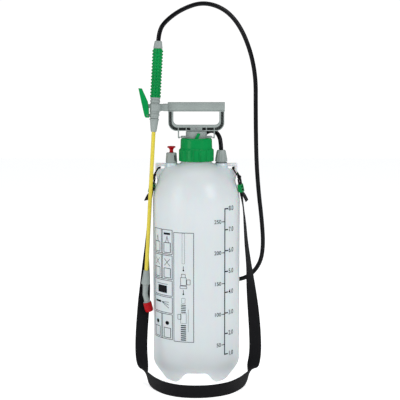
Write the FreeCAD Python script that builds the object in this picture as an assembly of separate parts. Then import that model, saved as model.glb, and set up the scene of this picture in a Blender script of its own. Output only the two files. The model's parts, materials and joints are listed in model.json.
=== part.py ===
"""Hand-pumped pressure sprayer: translucent tank, piston pump, hose, trigger gun and lance.

Millimetres. +Z is up, the origin is on the floor under the tank's axis, +X is the hose side
and -Y is the side that carries the scale.
"""
import FreeCAD, Part
import math
import os

from FreeCAD import Vector as V

os.makedirs("parts", exist_ok=True)

# ---- clearances ----
running = 0.05          # radial gap of a sliding or turning fit
free_gap = 0.4          # gap between pieces that must never rub

# ---- tank ----
tank_radius = 89.0
tank_wall = 2.2
shoulder_start = 365.0  # top of the straight side
shoulder_height = 84.0
shoulder_fullness = 2.17  # exponent of the shoulder's curve: 2 is an ellipse, more is squarer
neck_top = 470.0
neck_radius = 30.0
neck_wall = 3.0
thread_depth = 1.6
thread_pitch = 5.0
base_taper_height = 32.0
foot_outer_radius = 74.0
foot_inner_radius = 57.0
foot_round = 7.0
arch_height = 24.0
arch_half_top = 19.0
arch_half_bottom = 40.0
boss_offset = 51.0      # from the tank's axis to the two side bosses
boss_radius = 12.5
boss_bore = 8.0
boss_top = 445.0
ear_reach = 84.0
ear_thick = 10.0
ear_foot_z = 386.0
ear_drop = 17.0
ear_waist = 80.0
ear_waist_z = 410.0
slot_inner = 65.0
slot_outer = 78.0
slot_top = 438.5
slot_height = 5.5

# ---- pump ----
barrel_radius = 23.0
barrel_wall = 2.0
barrel_length = 255.0
barrel_flange_thick = 3.0
gasket_thick = 1.5
rod_radius = 8.0
piston_height = 12.0
piston_rest_gap = 8.0   # from the barrel's floor to the piston, pushed down
boss_top_radius = 21.5
cover_flange_half = 32.0
cover_flange_thick = 4.0
cover_boss_height = 11.0

# ---- collar nut ----
collar_height = 47.0
collar_knurl_height = 25.0
collar_radius = 35.8
collar_upper_radius = 32.6
collar_mouth_radius = 26.0
collar_grooves = 16
groove_depth = 1.9
groove_radius = 3.2

# ---- handle ----
handle_width = 114.0
handle_top = 569.0
grip_bar_height = 19.0
grip_bar_depth = 22.0
handle_depth = 20.0
arm_width = 10.0
outer_rim = 1.6
inner_rim = 3.0
rail_height = 12.0
rail_rim = 5.0
handle_corner = 17.0
channel_web = 2.6
hook_offset = 36.5
hook_thick = 2.6
hook_depth = 12.0
hub_radius = 12.0
pin_radius = 2.0

# ---- gun: its axis leans, and its length runs down from the hose end ----
gun_y = -20.0
gun_x = -84.9           # axis at the height of gun_z
gun_z = 536.0
gun_lean = 3.25         # degrees, top towards the pump
body_radius = 10.0
body_length = 43.0
grip_length = 98.0
grip_core_radius = 9.2
grip_rib_radius = 11.0
grip_pitch = 6.4
ferrule_length = 15.0
ferrule_radius = 8.8
core_tube_radius = 5.9
core_tube_bore = 3.5
lance_nut_length = 26.5
lance_radius = 4.0
lance_wall = 1.2
lance_length = 319.0
nozzle_bend = 17.25
nozzle_cap_length = 20.0
nozzle_cap_radius = 8.75
lever_half_width = 6.5
lever_wall = 2.0
lever_pivot = (-14.0, 6.0)
lever_pin_radius = 1.5
stem_height = 25.0
stem_radius = 2.0

# ---- hose ----
hose_radius = 4.5
hose_bore = 3.0

# ---- strap ----
strap_width = 25.0
strap_thick = 1.8

UP = V(0, 0, 1)


def revolve(points, centre=V(0, 0, 0)):
    """A solid of revolution about Z from (radius, height) points."""
    corners = [V(radius, 0, height) for radius, height in points]
    face = Part.Face(Part.makePolygon(corners + corners[:1]))
    solid = face.revolve(V(0, 0, 0), UP, 360)
    solid.translate(centre)
    return solid


def tube(outer, inner, bottom, top, centre=V(0, 0, 0)):
    """A round tube, or a rod when inner is 0, from one height to another."""
    solid = Part.makeCylinder(outer, top - bottom, centre + V(0, 0, bottom))
    if inner > 0:
        solid = solid.cut(Part.makeCylinder(inner, top - bottom + 2, centre + V(0, 0, bottom - 1)))
    return solid


def box(x0, x1, y0, y1, z0, z1):
    return Part.makeBox(x1 - x0, y1 - y0, z1 - z0, V(x0, y0, z0))


def prism_y(points, y0, y1):
    """A flat outline of (x, z) points, pulled from y0 to y1."""
    corners = [V(x, y0, z) for x, z in points]
    face = Part.Face(Part.makePolygon(corners + corners[:1]))
    return face.extrude(V(0, y1 - y0, 0))


def cross_pin(x, z, radius, half_length, y=0.0):
    return Part.makeCylinder(radius, 2 * half_length, V(x, y - half_length, z), V(0, 1, 0))


def fuse(first, *others):
    return first.multiFuse(list(others)).removeSplitter()


def mirror_x(shape):
    return shape.mirror(V(0, 0, 0), V(1, 0, 0))


def save(name, shape):
    if shape.ShapeType == "Compound" and len(shape.Solids) == 1:
        shape = shape.Solids[0]
    print(name, "solids", len(shape.Solids), "volume", round(shape.Volume / 1000, 2), "cm3",
          "valid", shape.isValid())
    shape.exportStep("parts/" + name + ".step")


# ---- tank shell ----
tank_floor = arch_height + tank_wall


def shoulder_curve(radius, height, start_z, end_radius):
    """Points up the shoulder, which closes in from the tank's radius to end_radius."""
    def rise(r):
        return start_z + height * (1 - (r / radius) ** shoulder_fullness) ** (1 / shoulder_fullness)
    steps = [radius * f for f in (0.985, 0.94, 0.86, 0.74, 0.60)] + [end_radius]
    return [(r, rise(r)) for r in steps]


def smooth_revolve(below, curve, above):
    """Revolve an outline whose middle stretch is one smooth curve through the given points."""
    start = [V(r, 0, z) for r, z in below]
    bend = [V(r, 0, z) for r, z in curve]
    finish = [V(r, 0, z) for r, z in above]
    line = Part.BSplineCurve()
    line.interpolate([start[-1]] + bend, InitialTangent=V(0, 0, 1), FinalTangent=V(-1, 0, 0.2))
    edges = [Part.LineSegment(a, b).toShape() for a, b in zip(start, start[1:])]
    edges.append(line.toShape())
    rest = [bend[-1]] + finish + [start[0]]
    edges += [Part.LineSegment(a, b).toShape() for a, b in zip(rest, rest[1:])]
    return Part.Face(Part.Wire(edges)).revolve(V(0, 0, 0), UP, 360)


def tank_outer():
    below = [(0, arch_height - 2), (foot_inner_radius - 12, arch_height - 2),
             (foot_inner_radius, foot_round / 2), (foot_inner_radius + 3, 0),
             (foot_outer_radius - foot_round, 0), (foot_outer_radius - 1.8, 1.8),
             (foot_outer_radius, foot_round), (tank_radius - 1.5, base_taper_height - 5),
             (tank_radius, base_taper_height), (tank_radius, shoulder_start)]
    root_z = shoulder_start + shoulder_height
    neck = [(neck_radius, root_z + 2), (neck_radius, neck_top), (0, neck_top)]
    curve = shoulder_curve(tank_radius, shoulder_height, shoulder_start, neck_radius + 5)
    return smooth_revolve(below, curve, neck)


def tank_inner():
    inside = tank_radius - tank_wall
    low = tank_floor + 2
    bore = neck_radius - neck_wall
    below = [(0, low), (inside - 9, low), (inside, base_taper_height + 7), (inside, shoulder_start)]
    top_z = shoulder_start + shoulder_height - tank_wall
    curve = shoulder_curve(inside, shoulder_height - tank_wall, shoulder_start, bore + 6)
    above = [(bore, top_z + 2), (bore, neck_top + 1), (0, neck_top + 1)]
    return smooth_revolve(below, curve, above)


def tank_ear():
    outline = [(neck_radius - 1, boss_top - 2), (boss_offset, boss_top), (ear_reach - 2, boss_top),
               (ear_reach, boss_top - 2), (ear_reach, boss_top - ear_drop), (ear_waist, ear_waist_z),
               (ear_waist + 1, ear_foot_z), (ear_waist - 10, ear_foot_z - 12), (neck_radius - 1, ear_foot_z)]
    return prism_y(outline, -ear_thick / 2, ear_thick / 2)


def make_tank():
    bosses = [tube(boss_radius, 0, shoulder_start + 20, boss_top, V(side * boss_offset, 0, 0))
              for side in (-1, 1)]
    ear = tank_ear()
    threads = [tube(neck_radius + thread_depth, 0, z, z + thread_pitch / 2)
               for z in (neck_top - 5, neck_top - 5 - thread_pitch, neck_top - 5 - 2 * thread_pitch)]
    solid = fuse(tank_outer(), ear, mirror_x(ear), *bosses, *threads)
    arch = prism_y([(-arch_half_bottom - 3, -1), (-arch_half_bottom, 4), (-arch_half_top, arch_height),
                    (arch_half_top, arch_height), (arch_half_bottom, 4), (arch_half_bottom + 3, -1)],
                   -2 * tank_radius, 2 * tank_radius)
    across = arch.copy()
    across.rotate(V(0, 0, 0), UP, 90)
    foot_middle = (foot_inner_radius + foot_outer_radius) / 2 - 1.5
    pockets = [Part.makeCone(4.0, 12.0, tank_floor, V(foot_middle, 0, 3.2)) for _ in range(4)]
    for turn, pocket in enumerate(pockets):
        pocket.rotate(V(0, 0, 0), UP, 45 + 90 * turn)
    holes = [tube(boss_bore, 0, shoulder_start + 10, boss_top + 1, V(side * boss_offset, 0, 0))
             for side in (-1, 1)]
    slot = box(slot_inner, slot_outer, -ear_thick, ear_thick, slot_top - slot_height, slot_top)
    return solid.cut([tank_inner(), arch, across, slot, mirror_x(slot)] + pockets + holes)


save("tank_shell", make_tank())

# ---- pump barrel and its cover ----
gasket_top = neck_top + gasket_thick
flange_top = gasket_top + barrel_flange_thick
barrel_floor = flange_top - barrel_length
flange_radius = neck_radius + thread_depth - 0.4
valve_stud_radius = 2.5


def make_barrel():
    bore = barrel_radius - barrel_wall
    shell = revolve([(0, barrel_floor), (barrel_radius - 2, barrel_floor), (barrel_radius, barrel_floor + 2),
                     (barrel_radius, gasket_top), (flange_radius, gasket_top),
                     (flange_radius, flange_top), (0, flange_top)])
    ports = [Part.makeCylinder(2.0, barrel_wall + 4, V(9, 0, barrel_floor - 1)) for _ in range(6)]
    for turn, port in enumerate(ports):
        port.rotate(V(0, 0, 0), UP, 60 * turn)
    centre_hole = Part.makeCylinder(valve_stud_radius + running, 10, V(0, 0, barrel_floor - 1))
    return shell.cut([tube(bore, 0, barrel_floor + barrel_wall, flange_top + 1), centre_hole] + ports)


barrel_bore = barrel_radius - barrel_wall
save("pump_barrel", make_barrel())
save("barrel_gasket", tube(flange_radius, barrel_radius + 0.3, neck_top, gasket_top))

valve_disc = tube(14.0, 0, barrel_floor - 2.0, barrel_floor - 0.1)
valve_stud = tube(valve_stud_radius, 0, barrel_floor - 2.0, barrel_floor + barrel_wall + 1.2)
valve_bead = tube(valve_stud_radius + 1.2, 0, barrel_floor + barrel_wall + 0.1,
                  barrel_floor + barrel_wall + 2.2)
save("foot_valve_disc", fuse(valve_disc, valve_stud, valve_bead))

collar_top = neck_top - 21.0 + collar_height
collar_bottom = collar_top - collar_height
cover_base = flange_top + 0.1
cover_top = collar_top + cover_flange_thick - 1.0 + cover_boss_height


def make_cover():
    flange_low = collar_top + running
    flange_high = flange_low + cover_flange_thick
    plug = revolve([(0, cover_base), (collar_mouth_radius - free_gap, cover_base),
                    (collar_mouth_radius - free_gap, collar_top - 9),
                    (boss_top_radius, collar_top - 7), (boss_top_radius, cover_top - 1.5),
                    (boss_top_radius - 1.5, cover_top), (0, cover_top)])
    disc = tube(cover_flange_half, 0, flange_low, flange_high)
    ears = disc.common(box(-cover_flange_half, cover_flange_half, -11, 11, flange_low, flange_high))
    bore = tube(rod_radius + running, 0, cover_base - 1, cover_top + 1)
    bush_seat = tube(rod_radius + 3, 0, cover_base - 1, cover_base + 8)
    vents = [box(-17.5, -13.5, -1.5, 1.5, collar_top - 6, cover_top + 1),
             box(13.5, 17.5, -1.5, 1.5, collar_top - 6, cover_top + 1)]
    return fuse(plug, ears).cut([bore, bush_seat] + vents)


save("pump_top_cover", make_cover())
save("rod_guide_bush", tube(rod_radius + 3, rod_radius + running, cover_base, cover_base + 7.9))

tab_lean = 5.0
tab = prism_y([(-5.5, collar_top - 4), (2.5, collar_top - 4), (3.5 + tab_lean, cover_top - 4.5),
               (tab_lean - 2.0, cover_top - 3.0)], -boss_top_radius - 4.2, -boss_top_radius - 0.3)
tab = fuse(tab, prism_y([(-5.5, collar_top - 4), (2.5, collar_top - 4), (2.5, collar_top - 1),
                         (-5.5, collar_top - 1)], -boss_top_radius - 3.8, -boss_top_radius + 2.0)
           .cut(tube(boss_top_radius, 0, collar_top - 7, cover_top)))
save("lock_tab", tab)

# ---- collar nut ----


def make_collar():
    step = collar_bottom + collar_knurl_height
    body = revolve([(0, collar_bottom), (collar_radius - 1, collar_bottom), (collar_radius, collar_bottom + 1),
                    (collar_radius, step - 2.0), (collar_upper_radius + 1.0, step),
                    (collar_upper_radius, step + 1.5), (collar_upper_radius - 0.5, collar_top - 3),
                    (collar_upper_radius - 3, collar_top), (0, collar_top)])
    grooves = []
    for index in range(collar_grooves):
        groove = Part.makeCylinder(groove_radius, collar_knurl_height + 2,
                                   V(collar_radius + groove_radius - groove_depth, 0, collar_bottom - 1))
        groove.rotate(V(0, 0, 0), UP, 360.0 / collar_grooves * (index + 0.5))
        grooves.append(groove)
    seat = flange_top + running
    bore = revolve([(0, collar_bottom - 1), (neck_radius + thread_depth + free_gap, collar_bottom - 1),
                    (neck_radius + thread_depth + free_gap, gasket_top - 4),
                    (flange_radius + free_gap, gasket_top - 3), (flange_radius + free_gap, seat),
                    (collar_mouth_radius, seat), (collar_mouth_radius, collar_top - 5),
                    (collar_mouth_radius + 2, collar_top + 1), (0, collar_top + 1)])
    return body.cut(grooves + [bore])


save("collar_nut", make_collar())

# ---- plunger: rod, piston, handle ----
rail_low = cover_top + 0.6
piston_low = barrel_floor + barrel_wall + piston_rest_gap
piston_radius = barrel_bore - 0.4
rod_top = rail_low + rail_height - 3
seal_section = 1.6
seal_z = piston_low + piston_height / 2


def make_piston():
    body = tube(piston_radius, 0, piston_low, piston_low + piston_height)
    groove = tube(piston_radius + 1, piston_radius - 2 * seal_section, seal_z - seal_section - 0.1,
                  seal_z + seal_section + 0.1)
    spigot = tube(rod_radius - 3, 0, piston_low + 2, piston_low + piston_height + 1)
    return body.cut([groove, spigot])


save("piston", make_piston())
save("piston_seal", tube(barrel_bore - running, piston_radius - 2 * seal_section,
                         seal_z - seal_section, seal_z + seal_section))
pin_z = rail_low + 5.0
rod = fuse(tube(rod_radius, 0, piston_low + piston_height, rod_top),
           tube(rod_radius - 3, 0, piston_low + 2.5, piston_low + piston_height + 1))
save("pump_rod", rod.cut(cross_pin(0, pin_z, pin_radius, rod_radius + 1)))
save("handle_pin", cross_pin(0, pin_z, pin_radius, handle_depth / 2 - 0.5))


def rounded_u(half, top, bottom, corner, y0, y1):
    """A U-shaped block: square at its open top, rounded at its two lower corners."""
    k = corner * (1 - math.sqrt(0.5))
    points = [V(-half, y0, top), V(-half, y0, bottom + corner), V(-half + corner, y0, bottom),
              V(half - corner, y0, bottom), V(half, y0, bottom + corner), V(half, y0, top)]
    left_mid = V(-half + k, y0, bottom + k)
    right_mid = V(half - k, y0, bottom + k)
    edges = [Part.LineSegment(points[0], points[1]).toShape(),
             Part.Arc(points[1], left_mid, points[2]).toShape(),
             Part.LineSegment(points[2], points[3]).toShape(),
             Part.Arc(points[3], right_mid, points[4]).toShape(),
             Part.LineSegment(points[4], points[5]).toShape(),
             Part.LineSegment(points[5], points[0]).toShape()]
    return Part.Face(Part.Wire(edges)).extrude(V(0, y1 - y0, 0))


def make_handle():
    half = handle_width / 2
    depth = handle_depth / 2
    bar_low = handle_top - grip_bar_height
    frame = rounded_u(half, bar_low + 2, rail_low, handle_corner, -depth, depth)
    window = rounded_u(half - arm_width, bar_low + 3, rail_low + rail_height, handle_corner - arm_width + 2,
                       -depth - 1, depth + 1)
    channel = rounded_u(half - outer_rim, bar_low, rail_low + outer_rim, handle_corner - outer_rim,
                        -depth - 1, depth - channel_web)
    keep = rounded_u(half - arm_width + inner_rim, bar_low + 3, rail_low + rail_height - rail_rim,
                     handle_corner - arm_width + 2 + inner_rim, -depth - 2, depth)
    frame = frame.cut([window, channel.cut(keep)])
    ribs = [box(x - 0.8, x + 0.8, -depth + 0.5, depth - 0.5, rail_low + 0.5, rail_low + rail_height - 3)
            for x in (-hook_offset, -hub_radius * 1.7, hub_radius * 1.7, hook_offset)]
    hub = box(-hub_radius, hub_radius, -depth + 0.5, depth - 0.5, rail_low, rail_low + rail_height - 1)
    bar_edge = 7.0
    bar = box(-half - 1, half + 1, -grip_bar_depth / 2, grip_bar_depth / 2, bar_low, handle_top)
    long_edges = [e for e in bar.Edges if abs(e.Vertexes[0].X - e.Vertexes[1].X) > handle_width]
    bar = bar.makeFillet(bar_edge, long_edges)
    hook_low = collar_top - 0.5
    hooks = []
    for side in (-1, 1):
        outer = side * (hook_offset + hook_thick / 2)
        inner = side * (hook_offset - hook_thick / 2)
        toe = side * (cover_flange_half + 0.8)
        leg = box(min(outer, inner), max(outer, inner), -hook_depth / 2, hook_depth / 2, hook_low,
                  rail_low + 1.5)
        foot = box(min(outer, toe), max(outer, toe), -hook_depth / 2, hook_depth / 2, hook_low,
                   hook_low + 2.6)
        hooks += [leg, foot]
    solid = fuse(frame, bar, hub, *(ribs + hooks))
    return solid.cut([tube(rod_radius, 0, rail_low - 1, rod_top), cross_pin(0, pin_z, pin_radius, depth + 1)])


save("pump_handle", make_handle())

# ---- gun ----


def place_gun(shape):
    """From the gun's own frame, with its axis on Z and the valve body's lower end at 0, to the row's."""
    moved = shape.copy()
    moved.rotate(V(0, 0, 0), V(0, 1, 0), gun_lean)
    moved.translate(V(gun_x, gun_y, gun_z))
    return moved


def gun_axis_x(z):
    return gun_x + (z - gun_z) * math.tan(math.radians(gun_lean))


clip_z = handle_top - grip_bar_height / 2 - 1
clip_x = gun_axis_x(clip_z)
clip_inner = body_radius + 0.02
clip_outer = clip_inner + 2.6
clip_mouth_half = 9.4
clip_mouth_turn = 12.0


def make_clip():
    ring = tube(clip_outer, 0, -7, 7).cut(tube(clip_inner, 0, -8, 8))
    mouth = box(-30, 0, -clip_mouth_half, clip_mouth_half, -9, 9)
    mouth.rotate(V(0, 0, 0), UP, clip_mouth_turn)
    ring = ring.cut(mouth)
    ring.rotate(V(0, 0, 0), V(0, 1, 0), gun_lean)
    ring.translate(V(clip_x, gun_y, clip_z))
    end = -handle_width / 2 - 1
    stub = Part.makeCylinder(7.2, end - clip_x - 6, V(clip_x + 6, gun_y + 10, clip_z), V(1, 0, 0))
    bands = [Part.makeCylinder(8.0, 1.6, V(end - 2.4 - 3.0 * i, gun_y + 10, clip_z), V(1, 0, 0))
             for i in range(3)]
    neck = box(clip_x + 6, end, gun_y, gun_y + 12, clip_z - 6, clip_z + 6)
    barrel = tube(body_radius + 0.02, 0, -40, 40)
    barrel.rotate(V(0, 0, 0), V(0, 1, 0), gun_lean)
    barrel.translate(V(clip_x, gun_y, clip_z))
    return fuse(ring, stub, neck, *bands).cut(barrel)


save("lance_clip", make_clip())

grip_low = body_length
grip_high = grip_low + grip_length
ferrule_high = grip_high + ferrule_length
core_low = body_length - 12
core_high = ferrule_high - 4


def make_grip():
    points = [(0, grip_low), (grip_core_radius + 1, grip_low)]
    rib_count = int(grip_length / grip_pitch)
    for index in range(rib_count):
        z = grip_low + 1 + grip_pitch * index
        points += [(grip_rib_radius, z + 0.8), (grip_rib_radius, z + grip_pitch * 0.5),
                   (grip_core_radius, z + grip_pitch * 0.64), (grip_core_radius, z + grip_pitch * 0.9)]
    points += [(grip_core_radius, grip_high), (0, grip_high)]
    return revolve(points).cut(tube(core_tube_radius, 0, grip_low - 1, grip_high + 1))


save("grip", place_gun(make_grip()))
save("grip_core_tube", place_gun(tube(core_tube_radius, core_tube_bore, core_low, core_high)))
filter_low = core_low + 4
save("lance_filter", place_gun(tube(core_tube_bore, core_tube_bore - 0.7, filter_low, filter_low + 26)
                               .fuse(tube(core_tube_bore, 0, filter_low - 1, filter_low))))

ferrule = revolve([(0, grip_high), (ferrule_radius, grip_high), (ferrule_radius + 0.5, grip_high + 2),
                   (ferrule_radius, grip_high + 4), (ferrule_radius - 1.4, ferrule_high - 1),
                   (ferrule_radius - 2.2, ferrule_high), (0, ferrule_high)])
ferrule = ferrule.cut([tube(core_tube_radius, 0, grip_high - 1, core_high),
                       tube(hose_radius + 0.3, 0, core_high - 1, ferrule_high + 1)])
save("hose_ferrule", place_gun(ferrule))

stem_bore = stem_radius + running
stem_guide = 3.8
band_depth = 1.0
cavity_radius = 6.0


def make_valve_body():
    points = [(0, 0), (7.5, 0), (8.5, 1.5), (8.5, 5), (body_radius, 6.5)]
    for band in (9.5, body_length - 12.5, body_length - 6.0):
        points += [(body_radius, band), (body_radius - band_depth, band + 0.6),
                   (body_radius - band_depth, band + 2.2), (body_radius, band + 2.8)]
    body = revolve(points + [(body_radius, body_length), (0, body_length)])
    guide = Part.makeCylinder(stem_guide, 14, V(0, 0, stem_height), V(-1, 0, 0))
    pivot_x, pivot_z = lever_pivot
    lug = box(pivot_x, -6, -2.6, 2.6, pivot_z - 3.2, pivot_z + 3.2).fuse(cross_pin(pivot_x, pivot_z, 3.2, 2.6))
    cavity = tube(cavity_radius, 0, stem_height - 9, stem_height + 6)
    inlet = tube(core_tube_radius, 0, core_low, body_length + 1)
    passage = tube(3.0, 0, stem_height + 5, core_low + 1)
    outlet = tube(lance_radius + running, 0, -1, 9)
    outlet_way = tube(2.6, 0, 8, stem_height - 8)
    stem_way = Part.makeCylinder(stem_bore, 20, V(0, 0, stem_height), V(-1, 0, 0))
    pin_way = cross_pin(pivot_x, pivot_z, lever_pin_radius, 4)
    return fuse(body, guide, lug).cut([cavity, inlet, passage, outlet, outlet_way, stem_way, pin_way])


save("valve_body", place_gun(make_valve_body()))
save("trigger_pin", place_gun(cross_pin(lever_pivot[0], lever_pivot[1], lever_pin_radius,
                                        lever_half_width - 0.2)))

lever_back = [(-35.0, 59.5), (-27.8, 32.7), (-20.0, 5.0), (-17.6, 1.5)]
lever_front = [(-28.3, 59.3), (-14.8, 33.0), (-12.2, 21.0), (-10.8, 1.5)]


def make_lever():
    outline = lever_back + lever_front[::-1]
    inner = [(x + lever_wall, z - 1.0) for x, z in lever_back[:3]]
    inner += [(lever_back[3][0] + lever_wall, -1), (0, -1), (0, 60), (-24, 60)]
    solid = prism_y(outline, -lever_half_width, lever_half_width)
    hollow = prism_y(inner, -lever_half_width + lever_wall, lever_half_width - lever_wall)
    bore = cross_pin(lever_pivot[0], lever_pivot[1], lever_pin_radius + running, lever_half_width + 1)
    return solid.cut([hollow, bore])


save("trigger_lever", place_gun(make_lever()))


def back_x(z):
    """The inner face of the lever's back wall at a height."""
    (x0, z0), (x1, z1) = lever_back[1], lever_back[2]
    return x0 + (x1 - x0) * (z + 1.0 - z0) / (z1 - z0) + lever_wall


stem_tip = back_x(stem_height - 2.5) + 1.4
stem_inner = -3.0
stem = fuse(Part.makeCylinder(stem_radius, stem_inner - stem_tip, V(stem_tip, 0, stem_height), V(1, 0, 0)),
            Part.makeCylinder(3.2, 1.5, V(stem_inner - 1.5, 0, stem_height), V(1, 0, 0)))
save("valve_stem", place_gun(stem))
spring_space = cavity_radius - 0.6
spring = Part.makeCylinder(2.6, spring_space - stem_inner - 0.3, V(stem_inner + 0.15, 0, stem_height),
                           V(1, 0, 0)).cut(
    Part.makeCylinder(1.8, 12, V(stem_inner, 0, stem_height), V(1, 0, 0)))
save("valve_spring", place_gun(spring))

nut_flange = 9.6
lance_nut = revolve([(0, -lance_nut_length), (5.4, -lance_nut_length), (6.2, -lance_nut_length + 3),
                     (8.7, -4), (8.7, -3), (nut_flange, -2.6), (nut_flange, 0), (0, 0)])
lance_nut = lance_nut.cut([tube(lance_radius + running, 0, -lance_nut_length - 1, 1),
                           tube(6.0, 0, -8, -2)])
save("lance_nut", place_gun(lance_nut))
save("lance_oring", place_gun(tube(5.9, lance_radius + running, -6, -3)))

# ---- lance and nozzle ----
lance_top = 7.5
lance_end = -lance_length
save("lance_tube", place_gun(tube(lance_radius, lance_radius - lance_wall, lance_end, lance_top)))

bend_z = lance_end - 42
tail = 17.0


def bend(shape):
    """Turns a piece made on the nozzle's own axis, which points down from 0, to its slanted place."""
    moved = shape.copy()
    moved.rotate(V(0, 0, 0), V(0, 1, 0), -nozzle_bend)
    moved.translate(V(0, 0, bend_z))
    return moved


elbow_upper = revolve([(0, lance_end + 8), (6.0, lance_end + 8), (6.3, lance_end), (9.0, lance_end - 17),
                       (9.0, lance_end - 20), (6.0, lance_end - 22), (5.4, lance_end - 36), (5.4, bend_z),
                       (0, bend_z)])
knee = Part.makeSphere(5.4, V(0, 0, bend_z))
elbow_lower = bend(revolve([(0, 0), (5.4, 0), (5.4, -tail + 3), (8.0, -tail + 1), (8.0, -tail), (5.6, -tail),
                            (5.6, -tail - 8), (0, -tail - 8)]))
waterway = [tube(lance_radius + 0.02, 0, lance_end - 6, lance_end + 10), tube(2.6, 0, bend_z, lance_end - 5),
            Part.makeSphere(2.6, V(0, 0, bend_z)), bend(tube(2.6, 0, -tail - 9, 0))]
elbow = fuse(elbow_upper, knee, elbow_lower).cut(waterway)
save("nozzle_elbow", place_gun(elbow))

cap_high = -tail - 0.3
cap_low = cap_high - nozzle_cap_length
insert = tube(2.55, 0, -tail - 12, -tail - 3).cut(tube(0.8, 0, -tail - 13, -tail - 2))
save("nozzle_insert", place_gun(bend(insert)))
cap = revolve([(0, cap_low), (nozzle_cap_radius - 2.5, cap_low), (nozzle_cap_radius - 1, cap_low + 1.5),
               (nozzle_cap_radius, cap_low + 4), (nozzle_cap_radius, cap_high), (0, cap_high)])
cap = cap.cut([tube(5.6 + running, 0, -tail - 13.5, cap_high + 1), tube(0.9, 0, cap_low - 1, cap_high)])
save("nozzle_cap", place_gun(bend(cap)))

# ---- relief valve, on the left boss ----
relief = V(-boss_offset, 0, 0)
relief_top = boss_top + 21
relief_body = revolve([(0, boss_top - 22), (boss_bore - 0.1, boss_top - 22), (boss_bore - 0.1, boss_top),
                       (11.0, boss_top), (11.8, boss_top + 1.5), (10.9, relief_top - 4), (0, relief_top - 4)],
                      relief)
window = box(5, 13, -3.2, 3.2, boss_top + 4.5, relief_top - 5)
window.rotate(V(0, 0, 0), UP, -40)
window.translate(relief)
relief_body = relief_body.cut([tube(6.5, 0, boss_top + 3, relief_top, relief),
                               tube(2.6, 0, boss_top - 23, boss_top + 4, relief), window])
save("relief_valve_body", relief_body)
relief_cap = revolve([(0, relief_top - 4), (10.9, relief_top - 4), (10.6, relief_top - 1), (9.6, relief_top),
                      (0, relief_top)], relief)
relief_cap = relief_cap.cut(tube(2.0 + running, 0, relief_top - 5, relief_top + 1, relief))
save("relief_valve_cap", relief_cap)
save("relief_spring", tube(5.0, 3.8, boss_top + 5.8, relief_top - 4.3, relief))
save("relief_seal", tube(5.4, 2.0, boss_top + 3.3, boss_top + 5.3, relief))
knob = revolve([(0, boss_top + 3.3), (2.0, boss_top + 3.3), (2.0, relief_top + 0.4), (4.4, relief_top + 0.4),
                (3.8, relief_top + 3), (3.8, relief_top + 6), (5.5, relief_top + 9), (8.5, relief_top + 10.5),
                (8.5, relief_top + 12.5), (7.2, relief_top + 13.4), (0, relief_top + 13.4)], relief)
save("relief_knob", knob)

# ---- outlet, on the right boss ----
outlet = V(boss_offset, 0, 0)
nipple_top = boss_top + 22
outlet_fitting = revolve([(0, boss_top - 26), (boss_bore - 0.1, boss_top - 26), (boss_bore - 0.1, boss_top + 1),
                          (10.6, boss_top + 1), (10.6, boss_top + 3), (7.0, boss_top + 3),
                          (7.0, boss_top + 8), (hose_bore - 0.1, boss_top + 8),
                          (hose_bore - 0.1, nipple_top), (0, nipple_top)], outlet)
save("outlet_fitting", outlet_fitting.cut(tube(1.9, 0, boss_top - 27, nipple_top + 1, outlet))
     .cut(tube(3.6, 0, boss_top - 27, boss_top - 10, outlet)))
save("outlet_gasket", tube(12.0, boss_bore, boss_top, boss_top + 1.0, outlet))
hose_nut = revolve([(0, boss_top + 3.1), (12.7, boss_top + 3.1), (12.4, boss_top + 8), (9.8, boss_top + 23),
                    (8.2, boss_top + 26.5), (0, boss_top + 26.5)], outlet)
flutes = []
for index in range(12):
    flute = Part.makeCylinder(2.0, 30, V(13.7, 0, boss_top + 3), V(-0.13, 0, 1))
    flute.rotate(V(0, 0, 0), UP, 30 * index)
    flute.translate(outlet)
    flutes.append(flute)
hose_nut = hose_nut.cut([tube(7.05, 0, boss_top, boss_top + 9, outlet),
                         tube(hose_radius + 0.3, 0, boss_top, boss_top + 30, outlet)] + flutes)
save("hose_nut", hose_nut)
dip_tube_low = tank_floor + 12
save("dip_tube", tube(3.55, 2.4, dip_tube_low, boss_top - 10.5, outlet))
save("dip_filter", fuse(tube(6.0, 5.0, dip_tube_low - 6, dip_tube_low + 18, outlet),
                        tube(5.0, 3.6, dip_tube_low + 15, dip_tube_low + 18, outlet)))

# ---- hose ----
hose_end = core_high + 0.2
gun_top_x = gun_x + hose_end * math.sin(math.radians(gun_lean))
gun_top_z = gun_z + hose_end * math.cos(math.radians(gun_lean))
hose_points = [
    (boss_offset, 0, boss_top + 8.2), (boss_offset, 0, 481), (46.5, 8, 503), (32, 23, 511.5), (15, 40, 502),
    (0, 62, 477), (-10, 88, 444), (-15, 106, 402), (-13, 112, 350), (-5, 114, 298), (8, 114, 248),
    (33, 108, 207), (70, 90, 184), (108, 62, 194), (134, 46, 226), (141, 42, 266), (137, 39, 322),
    (130, 35, 378), (125, 30, 438), (123, 26, 500), (122, 22, 562), (121.5, 18, 620), (110, 11, 674),
    (88, 5, 724), (57, -1, 757), (14, -6, 770), (-28, -12, 756), (-60, -17, 733),
    (gun_top_x + 24 * math.sin(math.radians(gun_lean)), gun_y, gun_top_z + 24), (gun_top_x, gun_y, gun_top_z)]


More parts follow.
